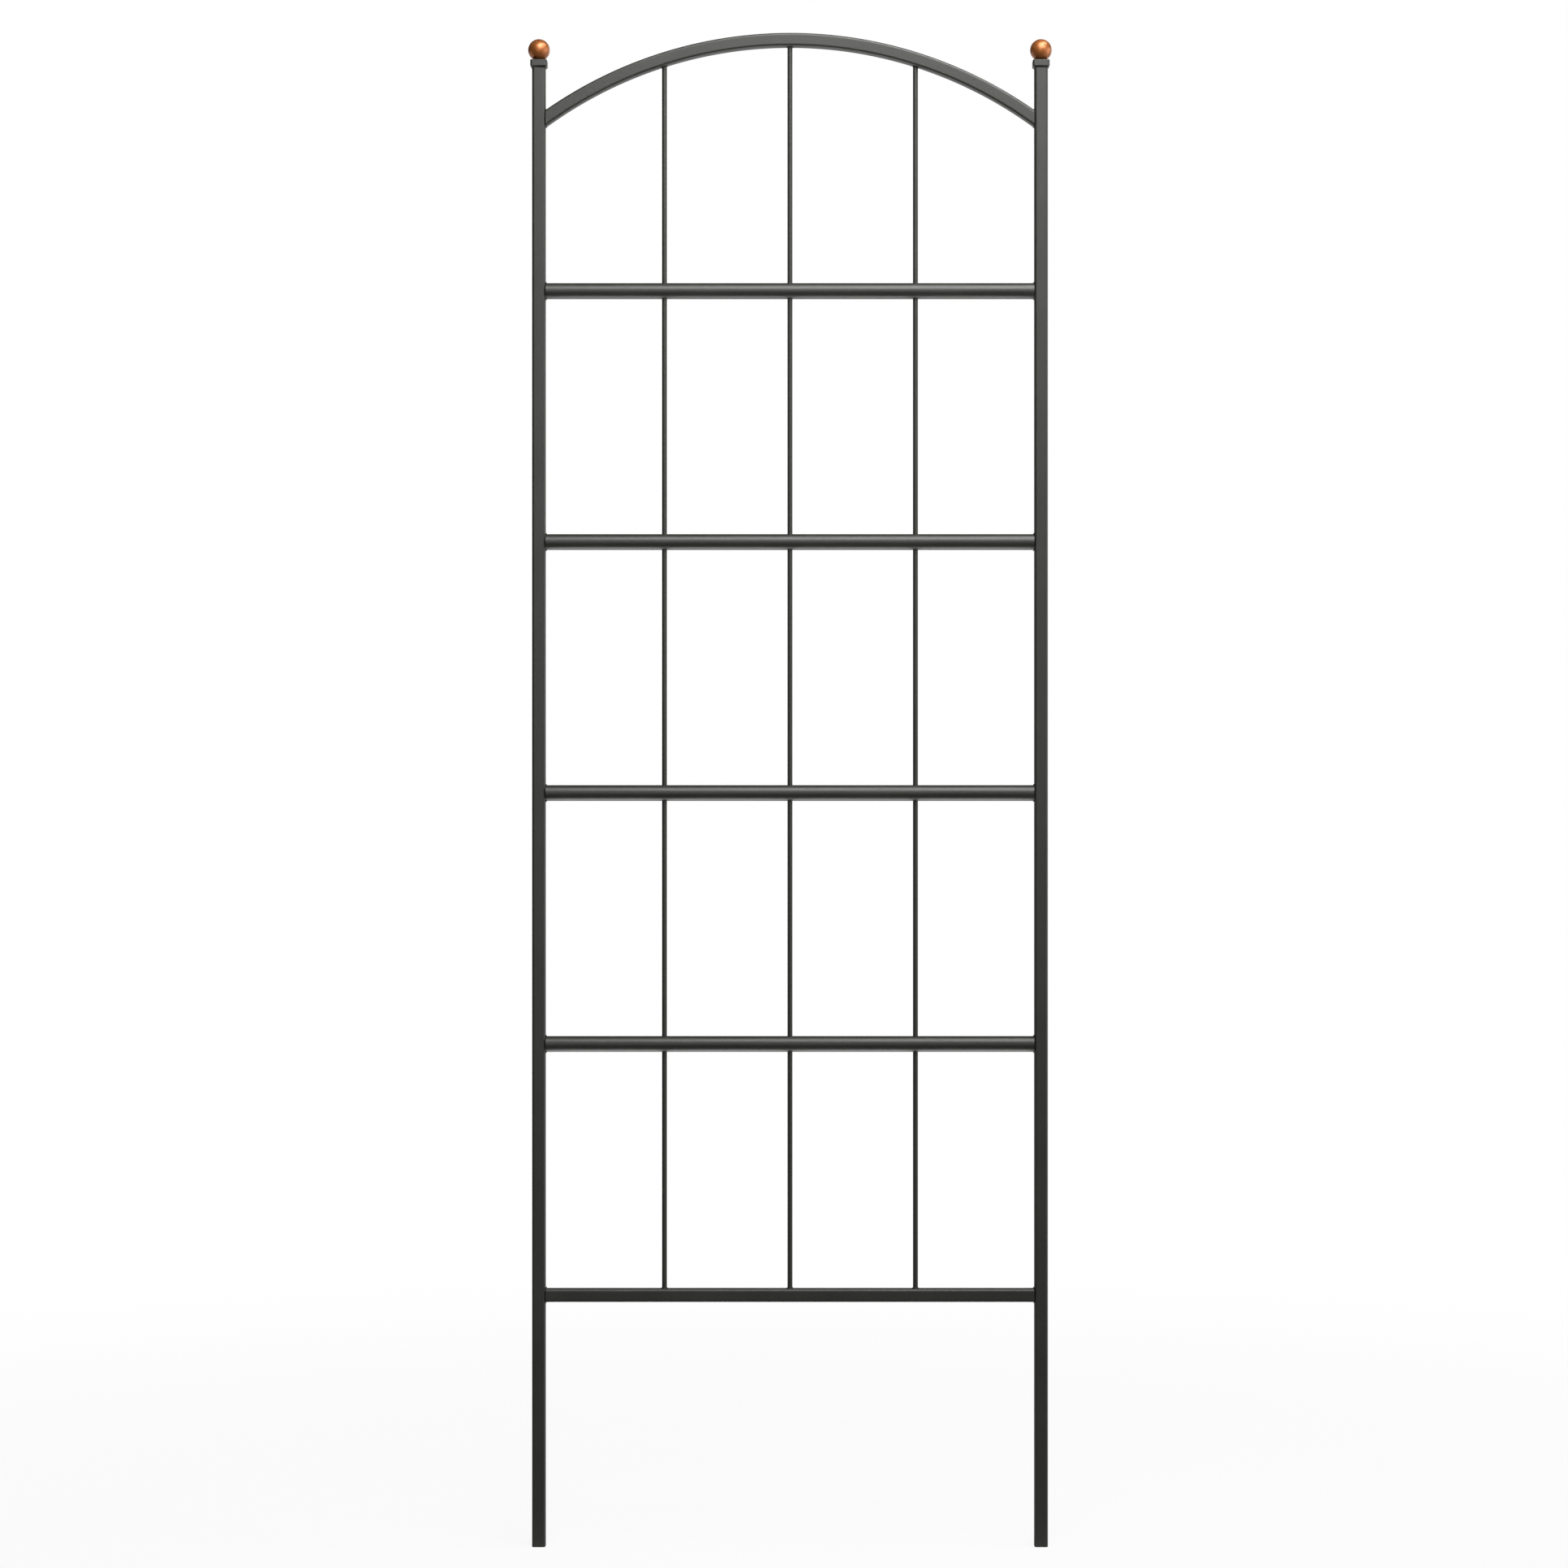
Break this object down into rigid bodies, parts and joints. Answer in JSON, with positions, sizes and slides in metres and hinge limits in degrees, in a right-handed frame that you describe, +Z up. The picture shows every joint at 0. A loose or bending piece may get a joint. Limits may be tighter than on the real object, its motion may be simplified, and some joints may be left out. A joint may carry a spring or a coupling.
{
  "type": "garden trellis",
  "caption": "Tall welded steel trellis panel for climbing plants: square posts, a bent arch on top, round cross tubes, thin upright rods and a ball finial on each post.",
  "frame": {"origin": "on the ground line, midway between the feet of the two posts, in the panel's middle plane", "axes": "+Z up along the posts; X across the panel, +X to the viewer's right; +Y away from the viewer, through the panel"},
  "size_m": [0.626, 0.026, 1.8077],
  "materials": {
    "anthracite_paint": "satin anthracite powder coat, slightly warm",
    "copper_finish": null,
    "zinc_plate": "bright zinc plate on the hidden studs"
  },
  "bodies": {
    "root": {"arch_left_lower_weld": "anthracite_paint", "arch_left_upper_weld": "anthracite_paint", "arch_right_lower_weld": "anthracite_paint", "arch_right_upper_weld": "anthracite_paint", "bottom_rail": "anthracite_paint", "bottom_rail_left_lower_weld": "anthracite_paint", "bottom_rail_left_upper_weld": "anthracite_paint", "bottom_rail_right_lower_weld": "anthracite_paint", "bottom_rail_right_upper_weld": "anthracite_paint", "centre_rod": "anthracite_paint", "centre_rod_foot_weld": "anthracite_paint", "centre_rod_top_weld": "anthracite_paint", "cross_tube_1": "anthracite_paint", "cross_tube_1_left_lower_weld": "anthracite_paint", "cross_tube_1_left_upper_weld": "anthracite_paint", "cross_tube_1_right_lower_weld": "anthracite_paint", "cross_tube_1_right_upper_weld": "anthracite_paint", "cross_tube_2": "anthracite_paint", "cross_tube_2_left_lower_weld": "anthracite_paint", "cross_tube_2_left_upper_weld": "anthracite_paint", "cross_tube_2_right_lower_weld": "anthracite_paint", "cross_tube_2_right_upper_weld": "anthracite_paint", "cross_tube_3": "anthracite_paint", "cross_tube_3_left_lower_weld": "anthracite_paint", "cross_tube_3_left_upper_weld": "anthracite_paint", "cross_tube_3_right_lower_weld": "anthracite_paint", "cross_tube_3_right_upper_weld": "anthracite_paint", "cross_tube_4": "anthracite_paint", "cross_tube_4_left_lower_weld": "anthracite_paint", "cross_tube_4_left_upper_weld": "anthracite_paint", "cross_tube_4_right_lower_weld": "anthracite_paint", "cross_tube_4_right_upper_weld": "anthracite_paint", "left_finial_ball": "copper_finish", "left_finial_stud": "zinc_plate", "left_post": "anthracite_paint", "left_post_cap": "anthracite_paint", "left_rod": "anthracite_paint", "left_rod_foot_weld": "anthracite_paint", "left_rod_top_weld": "anthracite_paint", "right_finial_ball": "copper_finish", "right_finial_stud": "zinc_plate", "right_post": "anthracite_paint", "right_post_cap": "anthracite_paint", "right_rod": "anthracite_paint", "right_rod_foot_weld": "anthracite_paint", "right_rod_top_weld": "anthracite_paint", "top_arch": "anthracite_paint"}
  },
  "joints": []
}
